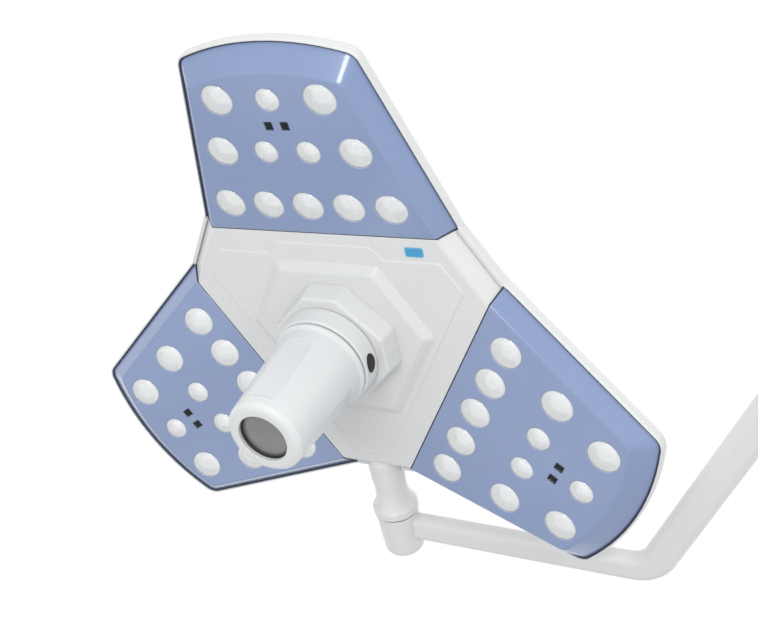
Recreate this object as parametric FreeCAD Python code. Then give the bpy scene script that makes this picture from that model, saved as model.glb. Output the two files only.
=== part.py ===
"""Three-lobed LED operating light head on its bow, with the spigot that hangs it from an arm.

Millimetres, +Z up, light shines towards -Z. Everything is built around the point where the
head's two tilt axes cross, and the last step moves the origin to the middle of the spigot.
"""
import FreeCAD, Part
import math
import os
from FreeCAD import Matrix, Placement, Vector

X_AXIS = Vector(1, 0, 0)
Y_AXIS = Vector(0, 1, 0)
Z_AXIS = Vector(0, 0, 1)

# ---- Driving dimensions of the light head ----
PETAL_ANGLES = (-90.0, 30.0, 150.0)
PETAL_TILT = math.radians(10.0)     # each petal leans in towards the light field
REF_RADIUS = 200.0                  # from the head's axis to a petal's own origin
FACE_DROP = 31.0                    # from the tilt axes down to a petal's origin
BASE_RADIUS = 110.5                 # from the head's axis to a petal's straight inner edge
FACE_HALF_BASE = 116.2
FACE_HALF_TIP = 76.2
TIP_CORNER_RADIUS = 267.6
TIP_ARC = 220.0
FACE_CORNER = 9.0                   # corner radius of the face at the tip
FOOT_CORNER = 12.5                  # and of the cover's foot
COVER_DEPTH = 17.0
SIDE_FLARE = 13.6                   # how far the cover's skirt spreads at the sides
TIP_FLARE = 20.2                    # and at the tip
COVER_WALL = 2.5
GASKET = 1.3
RIM = 1.7                           # housing rim seen beyond the gasket
RIM_LIP = 2.0                       # the rim stands this far in front of the cover's foot
RIM_HEIGHT = 9.0
HOUSING_DEPTH = 46.0                # petal face to petal back
HOUSING_TAPER = 17.0
HOUSING_WALL = 3.0
HUB_FACE_Z = -15.2
HUB_FACE_SHORT = 154.3
HUB_FOOT_Z = 1.5
HUB_FOOT_SHORT = 168.0
HUB_RIM_SHORT = 172.0
HUB_KNEE_Z = 9.0
HUB_BACK_Z = 34.0
HUB_LONG_OUTSIDE = (130.0, 112.0)    # the lobes cover the hub's long sides: knee, back
HUB_LONG_INSIDE = (113.0, 110.0, 104.0)     # foot, just behind it, back
HUB_BACK_SHORT = 154.0
HUB_WALL = 2.5
CAP_R = 62.0
ACCESS_R = 46.0
CAP_SCREW_RADIUS = 54.0
CAP_SCREW_ANGLES = (45, 135, 225, 315)
SCREW_HOLE_R = 2.7
SCREW_PLACES = [(-70.0, 150.0), (70.0, 150.0), (0.0, 262.0)]    # in a petal's back
STUB_BOLT_PLACES = [(-13, 98), (13, 98), (-13, 118), (13, 118)]

# ---- Lenses, LEDs and sensors, as (across, radius from the head's axis) ----
LARGE_LENS_R = 15.1
SMALL_LENS_R = 11.3
LENS_GAP = 0.3
LENS_DOME = 1.9
LENS_DEPTH = 12.4
LARGE_ROW_1 = [(step * 41.25, 140.6) for step in (-2, -1, 0, 1, 2)]
LARGE_ROW_2 = [(-66.8, 200.0), (66.8, 200.0)]
LARGE_ROW_3 = [(-50.9, 254.0), (50.9, 254.0)]
LARGE_PLACES = LARGE_ROW_1 + LARGE_ROW_2 + LARGE_ROW_3
SMALL_PLACES = [(-21.2, 200.0), (21.2, 200.0), (0.0, 254.0)]
SENSOR_PLACES = [(-8.0, 227.6), (8.0, 227.6)]
SENSOR_WIDTH = 6.2
SENSOR_LENGTH = 7.1
BOARD_TOP = -14.4
BOARD_THICKNESS = 1.6
LED_SIDE = 4.5
LED_HEIGHT = 1.6
SINK_PLATE = 4.0
SINK_DEPTH = 40.0
FIN_THICKNESS = 1.6
FIN_PITCH = 12.0

# ---- Boss and handle, on the head's vertical axis ----
RIDGE_HEIGHT = 0.9
PLATEAU_BASE_R = 96.0
PLATEAU_TOP_R = 86.0
PLATEAU_Z = -22.0
BOSS_BASE_R = 62.7
BOSS_TOP_R = 59.0
BOSS_TOP_Z = -43.0
BOSS_HALF_ANGLE = 17.2              # from an axis to a corner of the boss
COLLAR_R = 48.0
COLLAR_TOP_Z = -43.4
COLLAR_FLOOR_Z = -63.0
COLLAR_FLOOR = 3.0
CORE_R = 30.0
CORE_WALL = 3.0
CORE_END_Z = -164.0
JOURNAL_R = 20.0
BEARING_BORE_R = 24.0
BEARING_R = 28.0
SLEEVE_TOP_Z = -64.0
SLEEVE_FLANGE_R = 45.0
SLEEVE_ROOT_R = 42.5
SLEEVE_TIP_R = 36.4
SLEEVE_TIP_Z = -160.0
SLEEVE_END_Z = -173.0
SLEEVE_MOUTH_R = 23.6
SLEEVE_FLAT_TOP_Z = -84.0
SLEEVE_FLAT_DEPTH = 2.6
SLEEVE_FLAT_ANGLES = (30, 150, 270)
SLEEVE_SEAL_Z = -156.0
WINDOW_R = 22.7
COLLAR_BORE_R = 44.2
SLEEVE_NECK_R = 37.5
SLEEVE_NECK_TOP_Z = -51.5
BUTTON_Z = -53.5
BUTTON_HALF_WIDTH = 9.5
BUTTON_HALF_HEIGHT = 6.0
BUTTON_TRAVEL = 3.0
LATCH_HOLE_R = 37.9
LATCH_R = 40.4
LATCH_Z = -56.5
LATCH_THICKNESS = 2.0

# ---- Joints and bow ----
AXLE_R = 11.0
AXLE_BORE_R = 6.0
RUNNING_GAP = 0.05
AXLE_SHOULDER = 3.0                 # from the swing seam to the spigot's thicker part
JOINT_BORE_R = 14.0
JOINT_R = 21.5
JOINT_END_R = 20.3
JOINT_LENGTH = 43.0
JOINT_CAP = 6.0
TILT_SEAM_Y = 227.0
SWING_SEAM_X = 421.0
SEAL_WIDTH = 1.7
NECK_R = 17.0
STUB_COLLAR_R = 23.0
BOW_Y = 245.0                       # first leg of the bow runs along +X at this distance
BOW_CORNER_X = 259.0
BOW_ANGLE = math.radians(60.0)      # second leg turns back towards the swing axis
BOW_BEND_R = 34.0
BOW_WIDTH = 30.0
BOW_THICKNESS = 18.0
BOW_WALL = 2.5
BRAKE_Z = 21.5                      # brake screw's place along a joint, from the seam
SPIGOT_R = 12.5
SPIGOT_LENGTH = 34.0
SPIGOT_START_X = 445.0
SPIGOT_END_X = 490.0

PETAL_V_BASE = (BASE_RADIUS - REF_RADIUS) / math.cos(PETAL_TILT)
PETAL_V_TIP = (TIP_CORNER_RADIUS - REF_RADIUS) / math.cos(PETAL_TILT)
TIP_SAGITTA = TIP_ARC - math.sqrt(TIP_ARC ** 2 - FACE_HALF_TIP ** 2)
PETAL_V_APEX = PETAL_V_TIP + TIP_SAGITTA
ORIGIN = Vector(SPIGOT_START_X + SPIGOT_LENGTH / 2, 0, 0)


# ---- Shape helpers ----
def polar(radius, degrees, z=0.0):
    """Point at a radius and an angle about the Z axis."""
    angle = math.radians(degrees)
    return Vector(radius * math.cos(angle), radius * math.sin(angle), z)


def loft(wires):
    """Solid with straight walls between wires of the same number of edges."""
    return Part.makeLoft(wires, True, True)


def extrude(wire, height):
    """Solid prism from a flat wire along Z."""
    return Part.Face(wire).extrude(Vector(0, 0, height))


def polygon(points):
    """Closed wire through points."""
    return Part.makePolygon(points + [points[0]])


def sided_wire(sides, z):
    """Closed polygon whose sides are given as (direction of the normal, distance), in order."""
    points = []
    for index, (angle, distance) in enumerate(sides):
        next_angle, next_distance = sides[(index + 1) % len(sides)]
        a = math.radians(angle)
        b = math.radians(next_angle)
        det = math.sin(b - a)
        x = (distance * math.sin(b) - next_distance * math.sin(a)) / det
        y = (next_distance * math.cos(a) - distance * math.cos(b)) / det
        points.append(Vector(x, y, z))
    return polygon(points)


def hub_sides(long_side, short_side):
    """Six sides of the hub: long ones face the petals, short ones lie between them."""
    sides = []
    for angle in PETAL_ANGLES:
        sides.append((angle, long_side))
        sides.append((angle + 60, short_side))
    return sides


def ring(outer_r, inner_r, start, length, axis=Z_AXIS):
    """Tube along an axis through the origin, from start for length."""
    outer = Part.makeCylinder(outer_r, length, axis * start, axis)
    return outer.cut(Part.makeCylinder(inner_r, length, axis * start, axis))


def rod(radius, start, length, axis=Z_AXIS, centre=Vector(0, 0, 0)):
    """Cylinder along an axis, from start for length."""
    return Part.makeCylinder(radius, length, centre + axis * start, axis)


def box(x0, x1, y0, y1, z0, z1):
    """Box between two corners."""
    return Part.makeBox(x1 - x0, y1 - y0, z1 - z0, Vector(x0, y0, z0))


def revolve(profile):
    """Solid of revolution about Z from (radius, z) points, in order round the section."""
    wire = polygon([Vector(radius, 0, z) for radius, z in profile])
    return Part.Face(wire).revolve(Vector(0, 0, 0), Z_AXIS, 360)


def edges_where(shape, test):
    """Edges whose every end passes the test."""
    return [edge for edge in shape.Edges if all(test(vertex.Point) for vertex in edge.Vertexes)]


def arc(start, middle, end):
    """Arc through three points."""
    return Part.Arc(start, middle, end).toShape()


def line(start, end):
    """Straight edge."""
    return Part.makeLine(start, end)


# ---- Frames: a petal's own frame, and a joint's own frame along its axis ----
def petal_frame(angle):
    """Petal frame: +Y outwards along the face, +Z out of the face towards the light field."""
    phi = math.radians(angle)
    across = Vector(-math.sin(phi), math.cos(phi), 0)
    outward = Vector(math.cos(phi), math.sin(phi), 0)
    along = outward * math.cos(PETAL_TILT) - Z_AXIS * math.sin(PETAL_TILT)
    normal = across.cross(along)
    origin = outward * REF_RADIUS - Z_AXIS * FACE_DROP
    return frame_placement(across, along, normal, origin)


def frame_placement(x_dir, y_dir, z_dir, origin):
    """Placement from three unit directions and an origin."""
    return Placement(Matrix(
        x_dir.x, y_dir.x, z_dir.x, origin.x,
        x_dir.y, y_dir.y, z_dir.y, origin.y,
        x_dir.z, y_dir.z, z_dir.z, origin.z,
        0, 0, 0, 1))


TILT_FRAME = frame_placement(X_AXIS, -Z_AXIS, Y_AXIS, Vector(0, TILT_SEAM_Y, 0))
SWING_FRAME = frame_placement(Y_AXIS, -Z_AXIS, -X_AXIS, Vector(SWING_SEAM_X, 0, 0))
STUB_FRAME = frame_placement(X_AXIS, -Z_AXIS, Y_AXIS, Vector(0, 0, 0))


def placed(shape, placement):
    """Copy of a shape, moved from a local frame to the head's frame."""
    moved = shape.copy()
    moved.Placement = placement.multiply(moved.Placement)
    return moved


def in_petals(shape):
    """The same shape in each of the three petals."""
    return [placed(shape, petal_frame(angle)) for angle in PETAL_ANGLES]


def petal_point(place):
    """(across, radius from the head's axis) as a point on a petal's face, in the petal's frame."""
    across, radius = place
    return Vector(across, (radius - REF_RADIUS) / math.cos(PETAL_TILT), 0)


def petal_wire(side, tip, base, corner, z):
    """Petal outline at height z, grown outwards by side, tip and base, with rounded tip corners."""
    run = Vector(FACE_HALF_TIP - FACE_HALF_BASE, PETAL_V_TIP - PETAL_V_BASE, 0).normalize()
    outward = Vector(run.y, -run.x, 0)
    start = Vector(FACE_HALF_BASE, PETAL_V_BASE, 0) + outward * side
    start = start + run * ((PETAL_V_BASE - base - start.y) / run.y)
    centre = Vector(0, PETAL_V_APEX - TIP_ARC, 0)
    radius = TIP_ARC + tip
    reach = start - outward * corner - centre
    along = reach.dot(run)
    distance = -along + math.sqrt(along ** 2 - reach.dot(reach) + (radius - corner) ** 2)
    corner_centre = start - outward * corner + run * distance
    side_end = corner_centre + outward * corner
    tip_direction = (corner_centre - centre).normalize()
    tip_end = centre + tip_direction * radius
    corner_middle = corner_centre + (outward + tip_direction).normalize() * corner
    apex = centre + Vector(0, radius, 0)

    def left(point):
        return Vector(-point.x, point.y, point.z)

    edges = [
        line(left(start), start),
        line(start, side_end),
        arc(side_end, corner_middle, tip_end),
        arc(tip_end, apex, left(tip_end)),
        arc(left(tip_end), left(corner_middle), left(side_end)),
        line(left(side_end), left(start)),
    ]
    wire = Part.Wire(edges)
    wire.translate(Vector(0, 0, z))
    return wire


# ---- Petals ----
def petal_cover():
    """Blue cover: a flat face with flared skirts, and openings for lenses and sensors."""
    outer = loft([
        petal_wire(0, 0, 0, FACE_CORNER, 0),
        petal_wire(SIDE_FLARE, TIP_FLARE, 0, FOOT_CORNER, -COVER_DEPTH)])
    face_rim = edges_where(outer, lambda p: abs(p.z) < 0.01)
    face_rim = [edge for edge in face_rim if edge.CenterOfMass.y > PETAL_V_BASE + 1]
    outer = outer.makeFillet(4.0, face_rim)
    inner = loft([
        petal_wire(-3.5, -3.5, -COVER_WALL, FACE_CORNER - 2, -COVER_WALL),
        foot_inside(-COVER_DEPTH)])
    inner = inner.fuse(extrude(foot_inside(-COVER_DEPTH - 1), 1.0))
    cover = outer.cut(inner)
    cutters = [rod(LARGE_LENS_R + LENS_GAP, -6, 12, centre=petal_point(p)) for p in LARGE_PLACES]
    cutters += [rod(SMALL_LENS_R + LENS_GAP, -6, 12, centre=petal_point(p)) for p in SMALL_PLACES]
    cutters += [sensor_block(place, -6, 6, 0.0) for place in SENSOR_PLACES]
    return cover.cut(Part.makeCompound(cutters))


def foot_inside(z):
    """Inner outline of the cover at its foot."""
    return petal_wire(SIDE_FLARE - 2.7, TIP_FLARE - 3.1, -COVER_WALL, FOOT_CORNER - 2.5, z)


def seat_outline(z):
    """Outline of the housing's seat, one gasket wider than the cover's foot."""
    return petal_wire(SIDE_FLARE + GASKET, TIP_FLARE + GASKET, GASKET, FOOT_CORNER + GASKET, z)


def sensor_block(place, z0, z1, gap):
    """Small upright block at a sensor's place, less a gap all round."""
    centre = petal_point(place)
    half_x = SENSOR_WIDTH / 2 - gap
    half_y = SENSOR_LENGTH / 2 - gap
    return box(centre.x - half_x, centre.x + half_x, centre.y - half_y, centre.y + half_y, z0, z1)


def petal_gasket():
    """Dark seal round the cover's foot and up its straight inner wall."""
    foot = extrude(seat_outline(-COVER_DEPTH - RIM_LIP), RIM_LIP + 0.6)
    hollow = extrude(foot_inside(-COVER_DEPTH - RIM_LIP), RIM_LIP)
    bottom_half = FACE_HALF_BASE + SIDE_FLARE + GASKET
    strip = Part.Face(polygon([
        Vector(-bottom_half, PETAL_V_BASE, -COVER_DEPTH),
        Vector(bottom_half, PETAL_V_BASE, -COVER_DEPTH),
        Vector(FACE_HALF_BASE + 0.6, PETAL_V_BASE, -0.5),
        Vector(-FACE_HALF_BASE - 0.6, PETAL_V_BASE, -0.5)])).extrude(Vector(0, -GASKET, 0))
    skirt = loft([
        petal_wire(0, 0, 0, FACE_CORNER, 0),
        petal_wire(SIDE_FLARE, TIP_FLARE, 0, FOOT_CORNER, -COVER_DEPTH)])
    return foot.cut(hollow).cut(skirt).fuse(strip).removeSplitter()


def lens(radius):
    """Clear collimating lens: a shallow dome, a short cylindrical land and a conical body."""
    foot_r = radius * 0.36
    dome_r = (radius ** 2 + LENS_DOME ** 2) / (2 * LENS_DOME)
    section = Part.Wire([
        line(Vector(0, 0, -LENS_DEPTH), Vector(foot_r, 0, -LENS_DEPTH)),
        line(Vector(foot_r, 0, -LENS_DEPTH), Vector(radius, 0, -3.2)),
        line(Vector(radius, 0, -3.2), Vector(radius, 0, -0.6)),
        arc(Vector(radius, 0, -0.6), dome_point(radius, dome_r), Vector(0, 0, LENS_DOME - 0.6)),
        line(Vector(0, 0, LENS_DOME - 0.6), Vector(0, 0, -LENS_DEPTH))])
    return Part.Face(section).revolve(Vector(0, 0, 0), Z_AXIS, 360)


def dome_point(radius, dome_r):
    """Point on a lens dome half-way out."""
    x = radius / 2
    return Vector(x, 0, math.sqrt(dome_r ** 2 - x ** 2) - dome_r + LENS_DOME - 0.6)


def lens_holder(radius):
    """White cup that stands on the board and carries one lens."""
    foot_r = radius * 0.36 + 0.3
    return revolve([
        (foot_r, BOARD_TOP),
        (foot_r + 1.6, BOARD_TOP),
        (radius + 1.0, -4.6),
        (radius + 1.0, -3.3),
        (radius + 0.05, -3.3),
        (foot_r, -LENS_DEPTH - 0.15)])


def at_places(shape, places):
    """Compound of a shape repeated at places on a petal's face."""
    copies = []
    for place in places:
        copy = shape.copy()
        copy.translate(petal_point(place))
        copies.append(copy)
    return Part.makeCompound(copies)


def led():
    """One square LED package on the board."""
    half = LED_SIDE / 2
    return box(-half, half, -half, half, BOARD_TOP, BOARD_TOP + LED_HEIGHT)


def led_board():
    """Metal-core circuit board of one petal."""
    return extrude(petal_wire(-5, -5, -4, 10, BOARD_TOP - BOARD_THICKNESS), BOARD_THICKNESS)


def heat_sink():
    """Aluminium plate behind the board, with upright fins."""
    top = BOARD_TOP - BOARD_THICKNESS
    sink = extrude(petal_wire(-8, -8, -6, 10, top - SINK_PLATE), SINK_PLATE)
    envelope = extrude(petal_wire(-20, -16, -8, 10, -SINK_DEPTH), SINK_DEPTH + top - SINK_PLATE)
    count = int(2 * (FACE_HALF_BASE - 20) / FIN_PITCH)
    fins = []
    for index in range(count + 1):
        x = (index - count / 2) * FIN_PITCH
        fins.append(box(x - FIN_THICKNESS / 2, x + FIN_THICKNESS / 2, -150, 150,
                        -SINK_DEPTH, top - SINK_PLATE))
    return sink.fuse([fin.common(envelope) for fin in fins])


# ---- Housing and hub ----
def neck_envelope(gap):
    """Space taken by the stub's neck where it leaves the hub, grown by a gap."""
    profile = [
        (0, 148),
        (11 + gap, 148),
        (12.5 + gap, 151),
        (NECK_R + gap, 160),
        (NECK_R + gap, 200),
        (0, 200)]
    return placed(revolve(profile), STUB_FRAME)


def rear_housing():
    """One-piece three-lobed white shell behind the covers."""
    shell = hub_back()
    for lobe in in_petals(petal_back()):
        shell = shell.fuse(lobe)
    shell = shell.cut(box(-400, 400, -400, 400, HUB_BACK_Z, HUB_BACK_Z + 100))
    shell = shell.cut(housing_cavity())
    cap_holes = [rod(SCREW_HOLE_R, HUB_BACK_Z - 10, 20, centre=polar(CAP_SCREW_RADIUS, angle))
                 for angle in CAP_SCREW_ANGLES]
    lobe_holes = [rod(SCREW_HOLE_R, -HOUSING_DEPTH - 5, 12, centre=petal_point(place))
                  for place in SCREW_PLACES]
    shell = shell.cut(cap_holes + in_petals(Part.makeCompound(lobe_holes)))
    shell = shell.cut(rod(ACCESS_R, HUB_BACK_Z - 10, 20))
    return shell.removeSplitter()


def petal_back():
    """Outer form of one lobe: an upright rim, then a taper towards the back."""
    side = SIDE_FLARE + GASKET + RIM
    tip = TIP_FLARE + GASKET + RIM
    inward = 100.0                  # the lobe runs this far into the hub
    corner = FOOT_CORNER + GASKET + RIM
    front = -COVER_DEPTH + RIM_LIP
    knee = front - RIM_HEIGHT
    rim = extrude(petal_wire(side, tip, inward, corner, knee), RIM_HEIGHT)
    taper = loft([
        petal_wire(side, tip, inward, corner, knee),
        petal_wire(side - HOUSING_TAPER, tip - HOUSING_TAPER, inward, corner, -HOUSING_DEPTH)])
    lobe = rim.fuse(taper).removeSplitter()

    def outside(z):
        level = edges_where(lobe, lambda p: abs(p.z - z) < 0.01)
        return [edge for edge in level if edge.CenterOfMass.y > PETAL_V_BASE - inward + 1]

    lobe = lobe.makeFillet(5.0, outside(knee) + outside(-HOUSING_DEPTH))
    return lobe.makeFillet(1.6, outside(front))


def hub_back():
    """Outer form of the hub's rear half: an upright rim, then a bevelled crown."""
    knee_long, back_long = HUB_LONG_OUTSIDE
    front = HUB_FOOT_Z - 3.0
    body = loft([
        sided_wire(hub_sides(knee_long, HUB_RIM_SHORT), front),
        sided_wire(hub_sides(knee_long, HUB_RIM_SHORT), HUB_KNEE_Z),
        sided_wire(hub_sides(back_long, HUB_BACK_SHORT), HUB_BACK_Z)])

    def short_edges(z, least):
        level = edges_where(body, lambda p: abs(p.z - z) < 0.01)
        return [e for e in level if e.CenterOfMass.sub(Vector(0, 0, z)).Length > least]

    body = body.makeFillet(5.0, short_edges(HUB_KNEE_Z, HUB_RIM_SHORT - 1))
    body = body.makeFillet(1.6, short_edges(front, HUB_RIM_SHORT - 1))
    return body.makeFillet(4.0, short_edges(HUB_BACK_Z, HUB_BACK_SHORT - 1))


def housing_cavity():
    """Inside of the housing, open towards the front."""
    foot_long, behind_long, back_long = HUB_LONG_INSIDE
    foot = -COVER_DEPTH - RIM_LIP
    deep = -HOUSING_DEPTH + HOUSING_WALL
    seat = extrude(seat_outline(foot), 40)
    opening = petal_wire(SIDE_FLARE - 4, TIP_FLARE - 5, -2, FOOT_CORNER, foot)
    room = loft([
        opening,
        petal_wire(rim_inset(SIDE_FLARE), rim_inset(TIP_FLARE), -2, FOOT_CORNER, deep)])
    room = room.fuse(extrude(opening, 4))
    hub_room = loft([
        sided_wire(hub_sides(foot_long, HUB_FOOT_SHORT), HUB_FOOT_Z - 30),
        sided_wire(hub_sides(foot_long, HUB_FOOT_SHORT), HUB_FOOT_Z)])
    hub_deep = loft([
        sided_wire(hub_sides(behind_long, HUB_FOOT_SHORT), HUB_FOOT_Z),
        sided_wire(hub_sides(back_long, HUB_BACK_SHORT - 5), HUB_BACK_Z - HOUSING_WALL)])
    cavity = hub_room.fuse([hub_deep] + in_petals(seat) + in_petals(room))
    return cavity.fuse(neck_envelope(0.3))


def rim_inset(flare):
    """Inner wall of the housing at its back, as an offset from the face outline."""
    return flare + GASKET + RIM - HOUSING_TAPER - HOUSING_WALL


def hub_cover():
    """White hexagonal cover between the petals, with the embossed step and the plateau."""
    wall_lean = math.tan(PETAL_TILT)
    depth = HUB_FOOT_Z - HUB_FACE_Z
    face_long = BASE_RADIUS - GASKET / math.cos(PETAL_TILT)
    foot_long = face_long + depth * wall_lean
    outer = loft([
        sided_wire(hub_sides(face_long, HUB_FACE_SHORT), HUB_FACE_Z),
        sided_wire(hub_sides(foot_long, HUB_FOOT_SHORT), HUB_FOOT_Z)])
    short_edges = []
    for edge in edges_where(outer, lambda p: abs(p.z - HUB_FACE_Z) < 0.01):
        if edge.CenterOfMass.sub(Vector(0, 0, HUB_FACE_Z)).Length > HUB_FACE_SHORT - 1:
            short_edges.append(edge)
    outer = outer.makeFillet(5.0, short_edges)
    inner = loft([
        sided_wire(hub_sides(face_long - HUB_WALL, HUB_FACE_SHORT - 3.5), HUB_FACE_Z + HUB_WALL),
        sided_wire(hub_sides(foot_long - HUB_WALL, HUB_FOOT_SHORT - 3.0), HUB_FOOT_Z)])
    cover = outer.fuse([hub_step(), hub_plateau()])
    cover = cover.cut(inner)
    cover = cover.cut(rod(50, PLATEAU_Z - 1, 20))
    cover = cover.cut(neck_envelope(0.3))
    return cover.removeSplitter()


def hub_step():
    """Raised step on the hub's face, with a wider part towards the first petal."""
    top = HUB_FACE_Z - RIDGE_HEIGHT
    base = loft([
        sided_wire(hub_sides(86.2, 143.0), HUB_FACE_Z),
        sided_wire(hub_sides(85.2, 142.0), top)])
    bump = loft([
        polygon([Vector(-62, -84, HUB_FACE_Z), Vector(62, -84, HUB_FACE_Z),
                 Vector(49, -99, HUB_FACE_Z), Vector(-49, -99, HUB_FACE_Z)]),
        polygon([Vector(-61, -84, top), Vector(61, -84, top),
                 Vector(48.4, -98, top), Vector(-48.4, -98, top)])])
    return base.fuse(bump)


def plateau_sides(radius):
    """Sides of the plateau: its six corners lie 34 degrees either side of the petals."""
    return hub_sides(radius * math.cos(math.radians(34)), radius * math.cos(math.radians(26)))


def hub_plateau():
    """Soft raised hexagon that carries the boss."""
    plateau = loft([
        sided_wire(plateau_sides(PLATEAU_BASE_R), HUB_FACE_Z - RIDGE_HEIGHT),
        sided_wire(plateau_sides(PLATEAU_TOP_R), PLATEAU_Z)])
    corners = [e for e in plateau.Edges if abs(e.Vertexes[0].Z - e.Vertexes[1].Z) > 1]
    plateau = plateau.makeFillet(10.0, corners)
    top = edges_where(plateau, lambda p: abs(p.z - PLATEAU_Z) < 0.01)
    return plateau.makeFillet(3.0, top)


def boss_sides(radius):
    """Eight sides of the boss: short ones across the axes, long ones between."""
    half = math.radians(BOSS_HALF_ANGLE)
    sides = []
    for angle in (0, 90, 180, 270):
        sides.append((angle, radius * math.cos(half)))
        sides.append((angle + 45, radius * math.cos(math.pi / 4 - half)))
    return sides


def boss_cover():
    """Chamfered eight-sided white cover round the handle's bearing."""
    outer = loft([
        sided_wire(boss_sides(BOSS_BASE_R), PLATEAU_Z),
        sided_wire(boss_sides(BOSS_TOP_R), BOSS_TOP_Z)])
    corners = [e for e in outer.Edges if abs(e.Vertexes[0].Z - e.Vertexes[1].Z) > 1]
    outer = outer.makeFillet(5.0, corners)
    outer = outer.makeFillet(2.5, edges_where(outer, lambda p: abs(p.z - BOSS_TOP_Z) < 0.01))
    inner = loft([
        sided_wire(boss_sides(BOSS_BASE_R - 3.0), PLATEAU_Z),
        sided_wire(boss_sides(BOSS_TOP_R - 3.0), BOSS_TOP_Z + HUB_WALL)])
    return outer.cut(inner).cut(rod(BEARING_R + 2, BOSS_TOP_Z - 1, 10))


def rear_cap():
    """Round service cap on the back of the hub."""
    cap = revolve([(0, HUB_BACK_Z), (CAP_R, HUB_BACK_Z), (CAP_R, HUB_BACK_Z + 2.5),
                   (CAP_R - 2.5, HUB_BACK_Z + 5), (0, HUB_BACK_Z + 5)])
    recess = revolve([(46, HUB_BACK_Z + 3.8), (49, HUB_BACK_Z + 3.8), (49, HUB_BACK_Z + 6),
                      (46, HUB_BACK_Z + 6)])
    screw_holes = [rod(SCREW_HOLE_R, HUB_BACK_Z - 1, 8, centre=polar(CAP_SCREW_RADIUS, angle))
                   for angle in CAP_SCREW_ANGLES]
    return cap.cut([recess] + screw_holes)


def pan_screw(length, head_r=4.4, shank_r=2.5):
    """Pan-head screw along -Z, with its head's seat at z = 0 and a hexagon socket."""
    head = revolve([(0, 0), (head_r, 0), (head_r, 1.6), (head_r - 1.2, 2.8), (0, 2.8)])
    socket_points = [polar(1.9, 60 * corner, 1.2) for corner in range(6)]
    socket = extrude(polygon(socket_points), 2)
    return head.fuse(rod(shank_r, -length, length)).cut(socket)


def housing_screws():
    """Screws of the service cap and of the petals' backs."""
    screws = []
    for angle in CAP_SCREW_ANGLES:
        screw = pan_screw(9.0)
        screw.translate(polar(CAP_SCREW_RADIUS, angle, HUB_BACK_Z + 5))
        screws.append(screw)
    for angle in PETAL_ANGLES:
        for place in SCREW_PLACES:
            screw = pan_screw(5.5)
            flip = frame_placement(X_AXIS, -Y_AXIS, -Z_AXIS,
                                   petal_point(place) - Z_AXIS * HOUSING_DEPTH)
            screws.append(placed(placed(screw, flip), petal_frame(angle)))
    return Part.makeCompound(screws)


def inner_frame():
    """Cast frame: a hexagonal plate with ribs, and the seat of the handle's bearing tube."""
    plate = extrude(sided_wire(hub_sides(84, 126), 14), 6)
    plate = plate.cut(rod(BEARING_R, 10, 14))
    ribs = []
    for angle in PETAL_ANGLES:
        rib = box(36, 80, -3, 3, 20, 28).fuse(rod(5, 20, 11, centre=Vector(76, 0, 0)))
        rib.rotate(Vector(0, 0, 0), Z_AXIS, angle)
        ribs.append(rib)
    frame = plate.fuse(ribs)
    bolt_holes = [rod(3.2, 10, 14, centre=Vector(x, y, 0)) for x, y in STUB_BOLT_PLACES]
    return frame.cut(bolt_holes)


def stub_bolts():
    """Four bolts that hold the stub's tongue up against the frame."""
    bolts = []
    for x, y in STUB_BOLT_PLACES:
        bolt = rod(3.0, 2, 18).fuse(rod(5.0, 20, 5))
        bolt = bolt.cut(extrude(polygon([polar(2.6, 60 * c, 22) for c in range(6)]), 4))
        bolt.translate(Vector(x, y, 0))
        bolts.append(bolt)
    return Part.makeCompound(bolts)


def head_stub():
    """White casting: tongue under the frame, concave neck and flared collar, bored for the axle."""
    seam = TILT_SEAM_Y - SEAL_WIDTH - 0.3
    neck = Part.BSplineCurve()
    neck.interpolate([Vector(NECK_R, 0, 182), Vector(16.3, 0, 199), Vector(18.2, 0, 209),
                      Vector(STUB_COLLAR_R, 0, 217.5)])
    section = Part.Wire([
        line(Vector(AXLE_R, 0, 144), Vector(12.5, 0, 144)),
        line(Vector(12.5, 0, 144), Vector(12.5, 0, 151)),
        line(Vector(12.5, 0, 151), Vector(NECK_R, 0, 160)),
        line(Vector(NECK_R, 0, 160), Vector(NECK_R, 0, 182)),
        neck.toShape(),
        line(Vector(STUB_COLLAR_R, 0, 217.5), Vector(STUB_COLLAR_R, 0, seam - 1)),
        line(Vector(STUB_COLLAR_R, 0, seam - 1), Vector(STUB_COLLAR_R - 1, 0, seam)),
        line(Vector(STUB_COLLAR_R - 1, 0, seam), Vector(AXLE_R, 0, seam)),
        line(Vector(AXLE_R, 0, seam), Vector(AXLE_R, 0, 144))])
    body = Part.Face(section).revolve(Vector(0, 0, 0), Z_AXIS, 360)
    body = placed(body, STUB_FRAME)
    tongue = box(-20, 20, 88, 148, 2, 14)
    tongue = tongue.cut([rod(3.0, 0, 20, centre=Vector(x, y, 0)) for x, y in STUB_BOLT_PLACES])
    tongue = tongue.cut(rod(AXLE_R, 100, 60, Y_AXIS).cut(box(-30, 30, 80, 142, -30, 30)))
    return body.fuse(tongue)


def head_axle():
    """Hollow steel axle pressed into the stub, with the groove for its retaining ring."""
    end = TILT_SEAM_Y + JOINT_LENGTH + 2.5
    axle = ring(AXLE_R, AXLE_BORE_R, 144, end - 144, Y_AXIS)
    groove = ring(AXLE_R + 1, AXLE_R - 1.2, TILT_SEAM_Y + JOINT_LENGTH - 1.4, 1.6, Y_AXIS)
    return axle.cut(groove)


def circlip(inner_r, outer_r, thickness):
    """Open retaining ring about Z, standing on z = 0."""
    clip = ring(outer_r, inner_r, 0, thickness)
    return clip.cut(box(0, outer_r + 2, -2.0, 2.0, -1, thickness + 1))


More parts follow.
